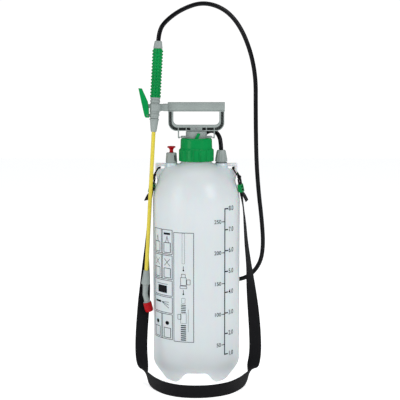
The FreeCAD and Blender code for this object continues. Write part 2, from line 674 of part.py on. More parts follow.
def round_route(points):
    """Straight runs joined by tangent arcs; prints each arc's radius."""
    route = [V(*p) for p in points]
    cuts = []
    for before, here, after in zip(route, route[1:], route[2:]):
        run_in = here - before
        run_out = after - here
        turn = run_in.getAngle(run_out)
        shorter = min(run_in.Length, run_out.Length)
        setback = 0.45 * shorter
        radius = setback / math.tan(turn / 2)
        into = here - run_in.normalize() * setback
        away = here + run_out.normalize() * setback
        inward = (into + away) * 0.5 - here
        middle = here + inward.normalize() * (radius / math.cos(turn / 2) - radius)
        cuts.append((into, middle, away))
        print("turn", round(math.degrees(turn), 1), "radius", round(radius, 1))
    edges = []
    last = route[0]
    for into, middle, away in cuts:
        edges.append(Part.LineSegment(last, into).toShape())
        edges.append(Part.Arc(into, middle, away).toShape())
        last = away
    edges.append(Part.LineSegment(last, route[-1]).toShape())
    return Part.Wire(edges), route[0], route[1] - route[0]


def make_hose():
    path, start, direction = round_route(hose_points)
    rings = []
    for radius in (hose_radius, hose_bore):
        rings.append(Part.Wire([Part.Circle(start, direction, radius).toShape()]))
    outer, inner = [path.makePipeShell([ring], True, False) for ring in rings]
    solid = outer.cut(inner)
    section = math.pi * (hose_radius ** 2 - hose_bore ** 2)
    print("hose length", round(path.Length, 1), "volume over section times length",
          round(solid.Volume / (section * path.Length), 4))
    return solid


save("hose", make_hose())

# ---- carrying strap: hooks through the ears, rings, adjusters and one long web ----
hook_inner = V(slot_outer - 2.65, 0, slot_top - slot_height / 2 + 0.1)
hook_outer = V(88.2, 0, 416.0)
hook_half = 8.0
hook_wire = 1.5
hook_bend = 3.0
link_turn = -12.0        # the hooks and links hang a little twisted
ring_low = 402.0
ring_high = 412.6
ring_thick = 3.6
ring_half = 13.0
knuckle_radius = 3.5
knuckle_half = 4.8
adjuster_low = 386.0
adjuster_high = 401.6
adjuster_low_x = 93.2
adjuster_high_x = 90.0
adjuster_thick = 7.0
adjuster_half = 15.0
bar_height = 3.0
web_step = 1.35          # from the adjuster's mid plane to the middle of each web
web_gap = 0.2


def make_hook():
    along = V(hook_outer - hook_inner).normalize()
    side = V(0, 1, 0)
    corners = [hook_inner - side * hook_half, hook_outer - side * hook_half,
               hook_outer + side * hook_half, hook_inner + side * hook_half]
    legs = [along, side, along * -1, side * -1]
    edges = []
    for index, corner in enumerate(corners):
        leg_in = legs[index - 1]
        leg_out = legs[index]
        into = corner - leg_in * hook_bend
        away = corner + leg_out * hook_bend
        centre = into + leg_out * hook_bend
        middle = centre + (corner - centre).normalize() * hook_bend
        following = corners[(index + 1) % 4] - leg_out * hook_bend
        edges.append(Part.Arc(into, middle, away).toShape())
        edges.append(Part.LineSegment(away, following).toShape())
    start = corners[0] + legs[0] * hook_bend
    section = Part.Wire([Part.Circle(start, legs[0], hook_wire).toShape()])
    return Part.Wire(edges[1:] + edges[:1]).makePipeShell([section], True, False)


def frame_link(low, high, x_low, x_high, half, thick, windows):
    """A flat link, leaning in X, with a row of open windows between its cross bars."""
    lean = [(x_low - thick / 2, low), (x_low + thick / 2, low), (x_high + thick / 2, high),
            (x_high - thick / 2, high)]
    plate = prism_y(lean, -half, half)
    pitch = (high - low - bar_height) / windows
    holes = [box(x_low - 3 * thick, x_low + 3 * thick, -half + bar_height, half - bar_height,
                 low + bar_height + pitch * index, low + pitch * (index + 1)) for index in range(windows)]
    return plate.cut(holes)


def make_ring():
    plate = frame_link(ring_low, ring_high, adjuster_high_x + 0.2, hook_outer.x + 0.2, ring_half, ring_thick, 1)
    neck = box(hook_outer.x - ring_thick / 2, hook_outer.x + ring_thick / 2, -knuckle_half, knuckle_half,
               ring_high - 1, hook_outer.z)
    knuckle = cross_pin(hook_outer.x, hook_outer.z, knuckle_radius, knuckle_half)
    bore = cross_pin(hook_outer.x, hook_outer.z, hook_wire + web_gap, knuckle_half + 1)
    return fuse(plate, neck, knuckle).cut(bore)


def on_adjuster(side, offset, z):
    """A strap row inside an adjuster: in from its mid plane by the offset, and turned as it is."""
    share = (z - adjuster_low) / (adjuster_high - adjuster_low)
    x = adjuster_low_x + (adjuster_high_x - adjuster_low_x) * share + offset
    turn = math.radians(link_turn)
    reach = side * (x - hook_inner.x)
    return (side * hook_inner.x + reach * math.cos(turn), reach * math.sin(turn), z,
            -side * math.sin(turn), side * math.cos(turn), 0)


def web(rows, width, thick):
    """A flat web through rows, each a point on its middle line and the direction of its width there."""
    places = [V(*row[:3]) for row in rows]
    sections = []
    for index, place in enumerate(places):
        before = places[max(index - 1, 0)]
        after = places[min(index + 1, len(places) - 1)]
        tangent = (after - before).normalize()
        across = V(*rows[index][3:])
        across = (across - tangent * across.dot(tangent)).normalize()
        out = tangent.cross(across).normalize() * (thick / 2)
        across = across * (width / 2)
        corners = [place - across - out, place + across - out, place + across + out, place - across + out]
        sections.append(Part.makePolygon(corners + corners[:1]))
    return Part.makeLoft(sections, True, True)


web_in = adjuster_low + bar_height + 1.9
web_out = adjuster_low - 1.5


def tail_rows(side):
    return [on_adjuster(side, web_step, web_in), on_adjuster(side, web_step, web_out),
            (side * 98.8, side * -4.2, 377.5, side * 0.25, side, 0),
            (side * 104.0, side * -4.6, 367.0, side * 0.25, side, 0)]


strap_rows = [
    on_adjuster(1, -web_step, web_in), on_adjuster(1, -web_step, web_out), (96.3, -2, 355, 0.08, 1, 0),
    (100.0, -2, 318, 0.2, 1, 0), (103, -4, 280, 0.3, 1, 0), (108.5, -8, 232, 0.45, 0.9, 0),
    (113, -14, 185, 0.75, 0.66, 0), (117.5, -20, 140, 0.92, 0.4, 0), (120.5, -26, 98, 0.96, 0.25, 0.05),
    (121, -33, 62, 0.95, 0.2, 0.2), (117, -42, 36, 0.8, 0.15, 0.55), (108, -58, 19, 0.4, 0.08, 0.9),
    (97, -84, 13.2, 0.06, 0, 1), (84, -114, 12.8, 0, 0.03, 1), (63, -143, 12.6, 0, 0.03, 1),
    (33, -162, 12.6, 0, 0, 1), (0, -168, 12.6, 0, 0, 1), (-33, -162, 12.6, 0, 0, 1),
    (-61, -142, 12.6, 0, 0.03, 1), (-81, -113, 12.8, 0, 0.03, 1), (-93, -84, 13.2, -0.06, 0, 1),
    (-103, -60, 19, -0.4, -0.08, 0.9), (-110, -45, 36, -0.8, -0.15, 0.55), (-113, -36, 62, -0.95, -0.2, 0.2),
    (-112.5, -28, 98, -0.96, -0.2, 0.05), (-110, -12, 140, -0.95, -0.2, 0), (-107, 3, 185, -0.8, -0.55, 0),
    (-105, 5, 232, -0.5, -0.85, 0), (-102.5, 4, 280, -0.2, -1, 0), (-99.5, 3.5, 318, -0.1, -1, 0),
    (-96.3, 3, 355, -0.1, -1, 0), on_adjuster(-1, -web_step, web_out), on_adjuster(-1, -web_step, web_in)]


def hang(shape, side):
    """Turn a link or hook of the right side about its ear's slot, and move it to the side it is for."""
    placed = shape.copy() if side > 0 else mirror_x(shape)
    placed.rotate(V(side * hook_inner.x, 0, 0), UP, link_turn)
    return placed


adjuster = frame_link(adjuster_low, adjuster_high, adjuster_low_x, adjuster_high_x, adjuster_half,
                      adjuster_thick, 2)
seat_width = strap_width + 2 * web_gap
seat_thick = strap_thick + 2 * web_gap
for side, label in ((1, "right"), (-1, "left")):
    save("strap_hook_" + label, hang(make_hook(), side))
    save("strap_ring_" + label, hang(make_ring(), side))
    near_rows = strap_rows[:3] if side > 0 else strap_rows[-3:]
    seats = [web(near_rows, seat_width, seat_thick), web(tail_rows(side)[:3], seat_width, seat_thick)]
    save("strap_adjuster_" + label, hang(adjuster, side).cut(seats))
    save("strap_end_" + label, web(tail_rows(side), strap_width, strap_thick))

strap_line = [V(*row[:3]) for row in strap_rows]
print("strap length", round(sum((b - a).Length for a, b in zip(strap_line, strap_line[1:])), 1))
strap = web(strap_rows, strap_width, strap_thick)
print("strap lowest point", round(strap.BoundBox.ZMin, 3))
save("shoulder_strap", strap)
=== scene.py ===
# %% [markdown]
# # A garden pressure sprayer
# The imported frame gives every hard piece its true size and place. This script adds what the frame
# leaves plain: the milky tank with its print, the hose, the webbing strap, the rubbery grip, softened
# edges on the mouldings, and a finish for each material.

# %% Load the frame
import bpy
import bmesh
import json
import math
from mathutils import Matrix, Vector


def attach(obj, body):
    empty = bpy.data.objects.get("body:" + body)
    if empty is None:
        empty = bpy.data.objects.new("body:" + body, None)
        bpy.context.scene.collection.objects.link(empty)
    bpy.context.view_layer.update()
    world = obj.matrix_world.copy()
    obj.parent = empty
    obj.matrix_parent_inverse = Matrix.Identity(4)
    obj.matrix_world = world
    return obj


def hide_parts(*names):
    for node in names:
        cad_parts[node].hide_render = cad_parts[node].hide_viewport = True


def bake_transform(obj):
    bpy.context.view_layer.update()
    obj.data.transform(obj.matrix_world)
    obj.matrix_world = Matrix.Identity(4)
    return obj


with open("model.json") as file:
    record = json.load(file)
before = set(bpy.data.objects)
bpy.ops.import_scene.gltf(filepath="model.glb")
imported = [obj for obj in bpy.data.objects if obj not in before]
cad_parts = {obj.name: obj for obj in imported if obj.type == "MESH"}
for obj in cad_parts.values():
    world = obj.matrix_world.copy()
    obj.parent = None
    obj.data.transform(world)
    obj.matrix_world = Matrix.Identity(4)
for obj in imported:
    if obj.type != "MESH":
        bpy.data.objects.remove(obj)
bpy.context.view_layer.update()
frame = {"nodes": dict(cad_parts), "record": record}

MM = 0.001
WHITE = (1.0, 1.0, 1.0, 1)
scene = bpy.context.scene

# %% [markdown]
# ## Camera and room
# The camera stands back and a little above the handle with a long lens, so that the tank's sides stay
# nearly parallel. A wide white floor and white surroundings give a plain studio.

# %% Camera
camera_data = bpy.data.cameras.new("camera")
camera_data.sensor_width = 36.0
camera_data.lens = 100.0
camera = bpy.data.objects.new("camera", camera_data)
camera.location = (0.0075, -2.270, 0.627)
camera.rotation_euler = (math.radians(83.5), 0.0, 0.0)
scene.collection.objects.link(camera)
scene.camera = camera


# %% Floor and light
def add_object(name, mesh):
    piece = bpy.data.objects.new(name, mesh)
    scene.collection.objects.link(piece)
    return piece


def mesh_from(bm, name, smooth=True):
    """Close a bmesh into a mesh with its normals outwards."""
    bmesh.ops.remove_doubles(bm, verts=bm.verts, dist=0.00001)
    bmesh.ops.recalc_face_normals(bm, faces=bm.faces)
    mesh = bpy.data.meshes.new(name)
    bm.to_mesh(mesh)
    bm.free()
    for face in mesh.polygons:
        face.use_smooth = smooth
    return mesh


def dimmed_in_gloss(tree, socket, plain, in_gloss):
    """Set a strength, and a lower one for glossy rays, so that reflections stay clear and colours deep."""
    ray = tree.nodes.new("ShaderNodeLightPath")
    dim = tree.nodes.new("ShaderNodeMapRange")
    dim.inputs["To Min"].default_value = plain
    dim.inputs["To Max"].default_value = in_gloss
    tree.links.new(ray.outputs["Is Glossy Ray"], dim.inputs["Value"])
    tree.links.new(dim.outputs["Result"], socket)


def make_floor():
    """A wide sheet of white paper that glows a little, so that it stays white round the tank."""
    bm = bmesh.new()
    bmesh.ops.create_grid(bm, x_segments=2, y_segments=2, size=6.0)
    floor = add_object("floor", mesh_from(bm, "floor", smooth=False))
    material = bpy.data.materials.new("floor_paper")
    material.use_nodes = True
    shader = material.node_tree.nodes["Principled BSDF"]
    shader.inputs["Base Color"].default_value = (0.9, 0.9, 0.9, 1)
    shader.inputs["Roughness"].default_value = 0.8
    shader.inputs["Emission Color"].default_value = WHITE
    dimmed_in_gloss(material.node_tree, shader.inputs["Emission Strength"], 0.56, 0.0)
    floor.data.materials.append(material)


def soft_light(name, place, aim, size, power):
    """A large rectangular lamp, in watts, turned towards the aim."""
    data = bpy.data.lights.new(name, "AREA")
    data.shape = "RECTANGLE"
    data.size = size[0]
    data.size_y = size[1]
    data.energy = power
    lamp = bpy.data.objects.new(name, data)
    lamp.location = place
    lamp.rotation_euler = (Vector(aim) - Vector(place)).to_track_quat("-Z", "Y").to_euler()
    scene.collection.objects.link(lamp)


def make_world():
    """White to the camera, and a softer, slightly cool white to everything else."""
    world = bpy.data.worlds.new("studio")
    world.use_nodes = True
    tree = world.node_tree
    soft = tree.nodes["Background"]
    soft.inputs["Color"].default_value = (0.96, 0.98, 1.0, 1)
    dimmed_in_gloss(tree, soft.inputs["Strength"], 0.52, 0.14)
    white = tree.nodes.new("ShaderNodeBackground")
    white.inputs["Color"].default_value = WHITE
    white.inputs["Strength"].default_value = 1.05
    ray = tree.nodes.new("ShaderNodeLightPath")
    mix = tree.nodes.new("ShaderNodeMixShader")
    tree.links.new(ray.outputs["Is Camera Ray"], mix.inputs["Fac"])
    tree.links.new(soft.outputs["Background"], mix.inputs[1])
    tree.links.new(white.outputs["Background"], mix.inputs[2])
    tree.links.new(mix.outputs["Shader"], tree.nodes["World Output"].inputs["Surface"])
    scene.world = world


make_floor()
make_world()
scene.view_settings.view_transform = "Standard"
soft_light("key_right", (1.3, -1.5, 1.5), (0, 0, 0.3), (0.7, 1.6), 17)
soft_light("fill_left", (-1.6, -1.2, 1.0), (0, 0, 0.3), (0.9, 1.6), 10.5)
soft_light("top", (0.0, 0.3, 2.2), (0, 0, 0.4), (1.6, 1.6), 9)

# %% [markdown]
# ## Finishes
# Every finish is built from noise on Object coordinates, which stay with the piece when it moves. A
# slow noise shifts the colour a little, as pigment does, and a fine one roughens the skin as a
# moulding tool leaves it.

# %% Helper for moulded plastics
def node(tree, kind, **inputs):
    """A shader node with its inputs set; an underscore in a name stands for a space."""
    made = tree.nodes.new(kind)
    for label, value in inputs.items():
        made.inputs[label.replace("_", " ")].default_value = value
    return made


def moulded(name, colour, roughness, spread=0.10, grain=900.0, depth=0.00003, tone_scale=18.0, **settings):
    """A moulded finish: the colour drifts by the spread, and the grain is a fine bump."""
    material = bpy.data.materials.new(name)
    material.use_nodes = True
    tree = material.node_tree
    shader = tree.nodes["Principled BSDF"]
    place = tree.nodes.new("ShaderNodeTexCoord")
    slow = node(tree, "ShaderNodeTexNoise", Scale=tone_scale, Detail=3.0)
    ramp = tree.nodes.new("ShaderNodeValToRGB")
    ramp.color_ramp.elements[0].position = 0.3
    ramp.color_ramp.elements[1].position = 0.7
    ramp.color_ramp.elements[0].color = [c * (1 - spread) for c in colour] + [1]
    ramp.color_ramp.elements[1].color = [min(1, c * (1 + spread)) for c in colour] + [1]
    fine = node(tree, "ShaderNodeTexNoise", Scale=grain, Detail=2.0)
    bump = node(tree, "ShaderNodeBump", Strength=0.35, Distance=depth)
    rough = node(tree, "ShaderNodeMapRange", To_Min=roughness * 0.85, To_Max=roughness * 1.15)
    tree.links.new(place.outputs["Object"], slow.inputs["Vector"])
    tree.links.new(place.outputs["Object"], fine.inputs["Vector"])
    tree.links.new(slow.outputs["Fac"], ramp.inputs["Fac"])
    tree.links.new(ramp.outputs["Color"], shader.inputs["Base Color"])
    tree.links.new(slow.outputs["Fac"], rough.inputs["Value"])
    tree.links.new(rough.outputs["Result"], shader.inputs["Roughness"])
    tree.links.new(fine.outputs["Fac"], bump.inputs["Height"])
    tree.links.new(bump.outputs["Normal"], shader.inputs["Normal"])
    for label, value in settings.items():
        shader.inputs[label.replace("_", " ")].default_value = value
    return material


finishes = {
    "tank_plastic": moulded("tank_plastic", (0.62, 0.665, 0.68), 0.34, spread=0.03, tone_scale=5.0,
                            grain=260.0, depth=0.00012, Subsurface_Weight=0.35, Subsurface_Scale=0.02,
                            Coat_Weight=0.15, Coat_Roughness=0.25),
    "green_plastic": moulded("green_plastic", (0.0, 0.245, 0.056), 0.28, spread=0.1, Coat_Weight=0.1,
                             Coat_Roughness=0.1, Specular_IOR_Level=0.12),
    "grey_plastic": moulded("grey_plastic", (0.275, 0.315, 0.302), 0.42, spread=0.06, depth=0.00005),
    "black_plastic": moulded("black_plastic", (0.005, 0.005, 0.006), 0.42, spread=0.2,
                             Specular_IOR_Level=0.12),
    "white_plastic": moulded("white_plastic", (0.62, 0.62, 0.60), 0.45, spread=0.04),
    "red_plastic": moulded("red_plastic", (0.37, 0.001, 0.005), 0.27, spread=0.1, Coat_Weight=0.1,
                           Coat_Roughness=0.12, Specular_IOR_Level=0.12),
    "yellow_lance": moulded("yellow_lance", (0.68, 0.56, 0.045), 0.28, spread=0.06, tone_scale=40.0,
                            Coat_Weight=0.3),
    "black_hose": moulded("black_hose", (0.004, 0.004, 0.005), 0.16, spread=0.25, grain=500.0,
                          depth=0.00004, Specular_IOR_Level=0.2),
    "seal_rubber": moulded("seal_rubber", (0.015, 0.015, 0.015), 0.6, spread=0.2),
    "steel": moulded("steel", (0.52, 0.52, 0.54), 0.32, spread=0.08, Metallic=1.0),
    "brass": moulded("brass", (0.62, 0.43, 0.16), 0.3, spread=0.1, Metallic=1.0),
    "ink": moulded("ink", (0.006, 0.007, 0.009), 0.6, spread=0.15, Specular_IOR_Level=0.1),
}
print("finishes:", len(finishes))

# %% [markdown]
# ## The hose
# A stiff hose leaves its nut upwards, makes a small arch behind the pump, loops down behind the tank
# and comes up and over to the gun. Its line is one smooth spline with the route's points as its
# control points. The skin is a round section carried along that line. The real hose bends when the handle
# goes up; this skin keeps its one shape.

# %% Hose
hose_radius = 4.5 * MM
hose_points = [
    (51, 0, 453.2), (51, 0, 481), (46.5, 8, 503), (32, 23, 511.5), (15, 40, 502), (0, 62, 477),
    (-10, 88, 444), (-15, 106, 402), (-13, 112, 350), (-5, 114, 298), (8, 114, 248), (33, 108, 207),
    (70, 90, 184), (108, 62, 194), (134, 46, 226), (141, 42, 266), (137, 39, 322), (130, 35, 378),
    (125, 30, 438), (123, 26, 500), (122, 22, 562), (121.5, 18, 620), (110, 11, 674), (88, 5, 724),
    (57, -1, 757), (14, -6, 770), (-28, -12, 756), (-60, -17, 733), (-74.92, -20, 711.83),
    (-76.28, -20, 687.88)]


def spline_points(points, name):
    """The points of the smooth curve whose control points these are, in metres."""
    data = bpy.data.curves.new(name, "CURVE")
    data.dimensions = "3D"
    data.resolution_u = 12
    spline = data.splines.new("NURBS")
    spline.points.add(len(points) - 1)
    for target, (x, y, z) in zip(spline.points, points):
        target.co = (x * MM, y * MM, z * MM, 1.0)
    spline.order_u = 3
    spline.use_endpoint_u = True
    holder = bpy.data.objects.new(name, data)
    scene.collection.objects.link(holder)
    bpy.context.view_layer.update()
    line = bpy.data.meshes.new_from_object(holder.evaluated_get(bpy.context.evaluated_depsgraph_get()))
    found = [vertex.co.copy() for vertex in line.vertices]
    bpy.data.objects.remove(holder)
    bpy.data.meshes.remove(line)
    return found


def tube_along(points, radius, sides, name):
    """A round skin around a line: one ring is carried from point to point without twisting, and each
    pair of rings is bridged."""
    bm = bmesh.new()
    heading = (points[1] - points[0]).normalized()
    across = heading.orthogonal().normalized()
    last_ring = None
    for index, point in enumerate(points):
        ahead = points[min(index + 1, len(points) - 1)]
        behind = points[max(index - 1, 0)]
        heading = (ahead - behind).normalized()
        across = (across - heading * across.dot(heading)).normalized()
        up = heading.cross(across)
        placed = Matrix((across, up, heading)).transposed().to_4x4()
        placed.translation = point
        at_end = index in (0, len(points) - 1)
        ring = bmesh.ops.create_circle(bm, segments=sides, radius=radius, cap_ends=at_end,
                                       matrix=placed)["verts"]
        edges = list({edge for vertex in ring for edge in vertex.link_edges})
        if last_ring:
            bmesh.ops.bridge_loops(bm, edges=last_ring + edges)
        last_ring = edges
    return mesh_from(bm, name)


hose_line = spline_points(hose_points, "hose_line")
hose_sides = 20
hose = add_object("hose_skin", tube_along(hose_line, hose_radius, hose_sides, "hose_skin"))
hose.data.materials.append(finishes["black_hose"])
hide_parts("hose")
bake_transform(hose)

# %% [markdown]
# ## The tank
# A blow-moulded bottle is one thin skin, with every corner rounded because the plastic was blown
# against the mould. Its outline is spun round the axis. The arches between the feet are then pressed
# up into the base, the shoulder is drawn up round the bosses, and the corners are relaxed.

# %% Tank body
tank_radius = 89.0 * MM
arch_height = 24.0 * MM
shoulder_z = 365.0 * MM
shoulder_rise = 84.0 * MM
shoulder_fullness = 2.17
shoulder_sweep = 66.5
shoulder_steps = 23
neck_radius = 30.0 * MM
thread_radius = neck_radius + 1.6 * MM
boss_x = 51 * MM


def metres(points):
    """Points in metres, from millimetres."""
    return [(r * MM, z * MM) for r, z in points]


def relax(bm, verts, rounds):
    """Let the points settle towards the middle of their neighbours, over and over."""
    for _ in range(rounds):
        bmesh.ops.smooth_vert(bm, verts=verts, factor=0.5, use_axis_x=True, use_axis_y=True, use_axis_z=True)


def ramp_up(value, low, high):
    """0 below low, 1 above high, and straight between them."""
    return min(1.0, max(0.0, (value - low) / (high - low)))


def spin_outline(outline, steps):
    """Spin (radius, height) points round Z into a closed skin."""
    bm = bmesh.new()
    verts = [bm.verts.new((radius, 0.0, height)) for radius, height in outline]
    edges = [bm.edges.new(pair) for pair in zip(verts, verts[1:])]
    bmesh.ops.spin(bm, geom=verts + edges, cent=(0, 0, 0), axis=(0, 0, 1), angle=math.tau, steps=steps,
                   use_merge=True)
    bmesh.ops.remove_doubles(bm, verts=bm.verts, dist=0.000005)
    return bm


def corner_arc(centre, radius, start_deg, end_deg, steps):
    """Points on an arc, to round a corner in an outline."""
    turns = [math.radians(start_deg + (end_deg - start_deg) * i / steps) for i in range(steps + 1)]
    return [(centre[0] + radius * math.cos(turn), centre[1] + radius * math.sin(turn)) for turn in turns]


def tank_outline():
    """The tank's half outline, from the middle of its base to the floor of its neck."""
    under = metres([(0, 22), (12, 22), (24, 22), (34, 22), (42, 22), (46, 20), (50, 14.5), (54, 8), (57, 3),
                    (60, 0.6), (63, 0), (66, 0.3)])
    foot = corner_arc((66 * MM, 8 * MM), 8 * MM, -80, -5, 5)
    taper = metres([(77.5, 13), (81, 18), (84.5, 23), (87, 27.5), (88.5, 32)]) + [(tank_radius, 38 * MM)]
    side = [(tank_radius, z * MM) for z in range(48, 365, 12)]
    shoulder = []
    power = 2 / shoulder_fullness
    for step in range(shoulder_steps + 1):
        turn = math.radians(shoulder_sweep * step / shoulder_steps)
        shoulder.append((tank_radius * math.cos(turn) ** power,
                         shoulder_z + shoulder_rise * math.sin(turn) ** power))
    root = metres([(34.2, 444.2), (32.2, 446.0), (30.6, 448.6)]) + [(neck_radius, 452 * MM)]
    neck = []
    for thread_low in (455, 463):
        neck += [(neck_radius, thread_low * MM), (thread_radius, (thread_low + 1) * MM),
                 (thread_radius, (thread_low + 3) * MM), (neck_radius, (thread_low + 4) * MM)]
    mouth = [(neck_radius, 470 * MM)] + metres([(27, 470), (27, 450), (0, 449.5)])
    return under + foot + taper + side + shoulder + root + neck + mouth


def press_arches(bm):
    """Push the base up between the feet, along X and along Y, with a smooth S-shaped side."""
    flat_half = 17 * MM
    foot_start = 42 * MM
    for vertex in bm.verts:
        if vertex.co.z > arch_height:
            continue
        sideways = min(abs(vertex.co.x), abs(vertex.co.y))
        t = ramp_up(sideways, flat_half, foot_start)
        ceiling = arch_height * (1 - t * t * (3 - 2 * t))
        vertex.co.z = max(vertex.co.z, ceiling)
    low = [v for v in bm.verts if 0.4 * MM < v.co.z < 36 * MM]
    relax(bm, low, 6)


def swell_shoulder(bm):
    """Draw the shoulder up round each boss, and along the ridge from the neck to the ear."""
    boss_reach = 17 * MM
    ridge_half = 11 * MM
    ceiling = 440 * MM
    for vertex in bm.verts:
        if not shoulder_z - 5 * MM < vertex.co.z < 444 * MM:
            continue
        out = abs(vertex.co.x)
        gap = math.hypot(out - boss_x, vertex.co.y)
        near_boss = math.exp(-(gap / boss_reach) ** 4)
        ridge = math.exp(-(vertex.co.y / ridge_half) ** 4)
        ridge *= ramp_up(out, 26 * MM, 34 * MM) * ramp_up(-out, -80 * MM, -56 * MM)
        vertex.co.z += max(0.0, ceiling - vertex.co.z) * max(near_boss, ridge)
    high = [v for v in bm.verts if 385 * MM < v.co.z < 443 * MM]
    relax(bm, high, 5)


tank_steps = 256
body_bm = spin_outline(tank_outline(), tank_steps)
press_arches(body_bm)
swell_shoulder(body_bm)
tank = add_object("tank_body", mesh_from(body_bm, "tank_body"))
tank.data.materials.append(finishes["tank_plastic"])
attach(tank, "tank")
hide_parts("tank_shell")
print("tank faces", len(tank.data.polygons))

# %% [markdown]
# The two bosses and the two ears are solid lumps where the mould pinched the skin flat. An ear is a
# flat outline with a slot in it, pulled to its thickness, and its edges are bevelled.

# %% Bosses and ears
def flat_plate(name, outline, holes, thick, bevel):
    """A flat plate in the XZ plane from an outline and holes in it, with rounded edges."""
    data = bpy.data.curves.new(name, "CURVE")
    data.dimensions = "2D"
    data.fill_mode = "BOTH"
    data.extrude = thick / 2 - bevel
    data.bevel_depth = bevel
    data.bevel_resolution = 2
    data.offset = -bevel
    for loop in [outline] + holes:
        spline = data.splines.new("POLY")
        spline.points.add(len(loop) - 1)
        for target, (x, z) in zip(spline.points, loop):
            target.co = (x * MM, z * MM, 0, 1)
        spline.use_cyclic_u = True
    holder = bpy.data.objects.new(name, data)
    scene.collection.objects.link(holder)
    bpy.context.view_layer.update()
    mesh = bpy.data.meshes.new_from_object(holder.evaluated_get(bpy.context.evaluated_depsgraph_get()))
    bpy.data.objects.remove(holder)
    mesh.transform(Matrix.Rotation(math.radians(90), 4, "X"))
    bm = bmesh.new()
    bm.from_mesh(mesh)
    bpy.data.meshes.remove(mesh)
    return bm


def rounded_loop(corners, radius, steps=5):
    """Corner points with each corner rounded, in millimetres."""
    found = []
    count = len(corners)
    for index, corner in enumerate(corners):
        here = Vector(corner)
        into = (Vector(corners[index - 1]) - here).normalized()
        away = (Vector(corners[(index + 1) % count]) - here).normalized()
        half = into.angle(away) / 2
        reach = radius / math.tan(half)
        centre = here + (into + away).normalized() * (radius / math.sin(half))
        first = here + into * reach - centre
        last = here + away * reach - centre
        swing = first.angle_signed(last)
        for step in range(steps + 1):
            turned = first.copy()
            turned.rotate(Matrix.Rotation(-swing * step / steps, 2))
            found.append(tuple(centre + turned))
    return found


ear_corners = [(29, 443.5), (84, 445), (84, 428), (80, 410), (81, 386), (70, 374), (29, 386)]
slot_corners = [(65, 433), (78, 433), (78, 438.5), (65, 438.5)]
ear_thick = 10 * MM
ear_bevel = 1.6 * MM
boss_outline = metres([(0, 400), (13.5, 400), (12.8, 436), (12.5, 443.5), (12.1, 444.6), (11.2, 445),
                       (0, 445)])
for side, label in ((1, "right"), (-1, "left")):
    ear_bm = flat_plate("ear_" + label, rounded_loop(ear_corners, 3.0), [rounded_loop(slot_corners, 1.2)],
                        ear_thick, ear_bevel)
    boss_bm = spin_outline(boss_outline, 64)
    bmesh.ops.translate(boss_bm, verts=boss_bm.verts, vec=(boss_x, 0, 0))
    boss_mesh = mesh_from(boss_bm, "boss")
    ear_bm.from_mesh(boss_mesh)
    bpy.data.meshes.remove(boss_mesh)
    if side < 0:
        bmesh.ops.scale(ear_bm, verts=ear_bm.verts, vec=(-1, 1, 1))
    ear = add_object("tank_ear_" + label, mesh_from(ear_bm, "tank_ear_" + label))
    ear.data.set_sharp_from_angle(angle=math.radians(40))
    ear.data.materials.append(finishes["tank_plastic"])
    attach(ear, "tank")
print("ears and bosses made")

# %% [markdown]
# ## The print on the tank
# The scale and the picture panels are screen printed: a thin film of dark ink. They are drawn flat, as
# bars, rings and numbers, and the drawing is then wrapped round the tank. The litre marks stand
# where one litre more fills the tank.

# %% Drawing helpers
ink_lift = 0.12 * MM
ink_thick = 0.10 * MM


def wrap_on_tank(bm, angle_deg):
    """Wrap a flat drawing, x across and z up, round the tank at an angle from the front."""
    start = math.radians(angle_deg)
    for vertex in bm.verts:
        reach = tank_radius + ink_lift + vertex.co.y
        angle = start + vertex.co.x / tank_radius
        vertex.co = Vector((reach * math.sin(angle), -reach * math.cos(angle), vertex.co.z))


def bar(bm, x0, z0, x1, z1, width=1.0):
    """A straight inked line, cut into short lengths so that it can bend round the tank."""
    start = Vector((x0, 0, z0)) * MM
    run = Vector((x1, 0, z1)) * MM - start
    step = run.length / max(1, int(run.length / (3 * MM)))
    tilt = Matrix.Rotation(-math.atan2(run.z, run.x), 4, "Y")
    size = Matrix.Diagonal((step, ink_thick, width * MM, 1))
    made = bmesh.ops.create_cube(bm, size=1.0, matrix=Matrix.Translation((step / 2, 0, 0)) @ size)["verts"]
    ahead = [v for v in made if v.co.x > step / 2]
    front = next(f for v in ahead for f in v.link_faces if all(w in ahead for w in f.verts))
    for _ in range(round(run.length / step) - 1):
        grown = bmesh.ops.extrude_face_region(bm, geom=[front])["geom"]
        bmesh.ops.delete(bm, geom=[front], context="FACES_ONLY")
        ahead = [g for g in grown if isinstance(g, bmesh.types.BMVert)]
        front = next(g for g in grown if isinstance(g, bmesh.types.BMFace))
        bmesh.ops.translate(bm, verts=ahead, vec=(step, 0, 0))
        made += ahead
    bmesh.ops.transform(bm, matrix=Matrix.Translation(start) @ tilt, verts=made)


def frame_box(bm, x0, z0, x1, z1, width=1.0):
    """The outline of a box."""
    for line in ((x0, z0, x1, z0), (x0, z1, x1, z1), (x0, z0, x0, z1), (x1, z0, x1, z1)):
        bar(bm, *line, width=width)


def block(bm, x0, z0, x1, z1):
    """A filled box."""
    bar(bm, x0, (z0 + z1) / 2, x1, (z0 + z1) / 2, width=z1 - z0)


def disc(bm, x, z, radius):
    """A filled dot."""
    placed = Matrix.Translation((x * MM, 0, z * MM)) @ Matrix.Rotation(math.radians(90), 4, "X")
    bmesh.ops.create_cone(bm, cap_ends=True, segments=20, radius1=radius * MM, radius2=radius * MM,
                          depth=ink_thick, matrix=placed)


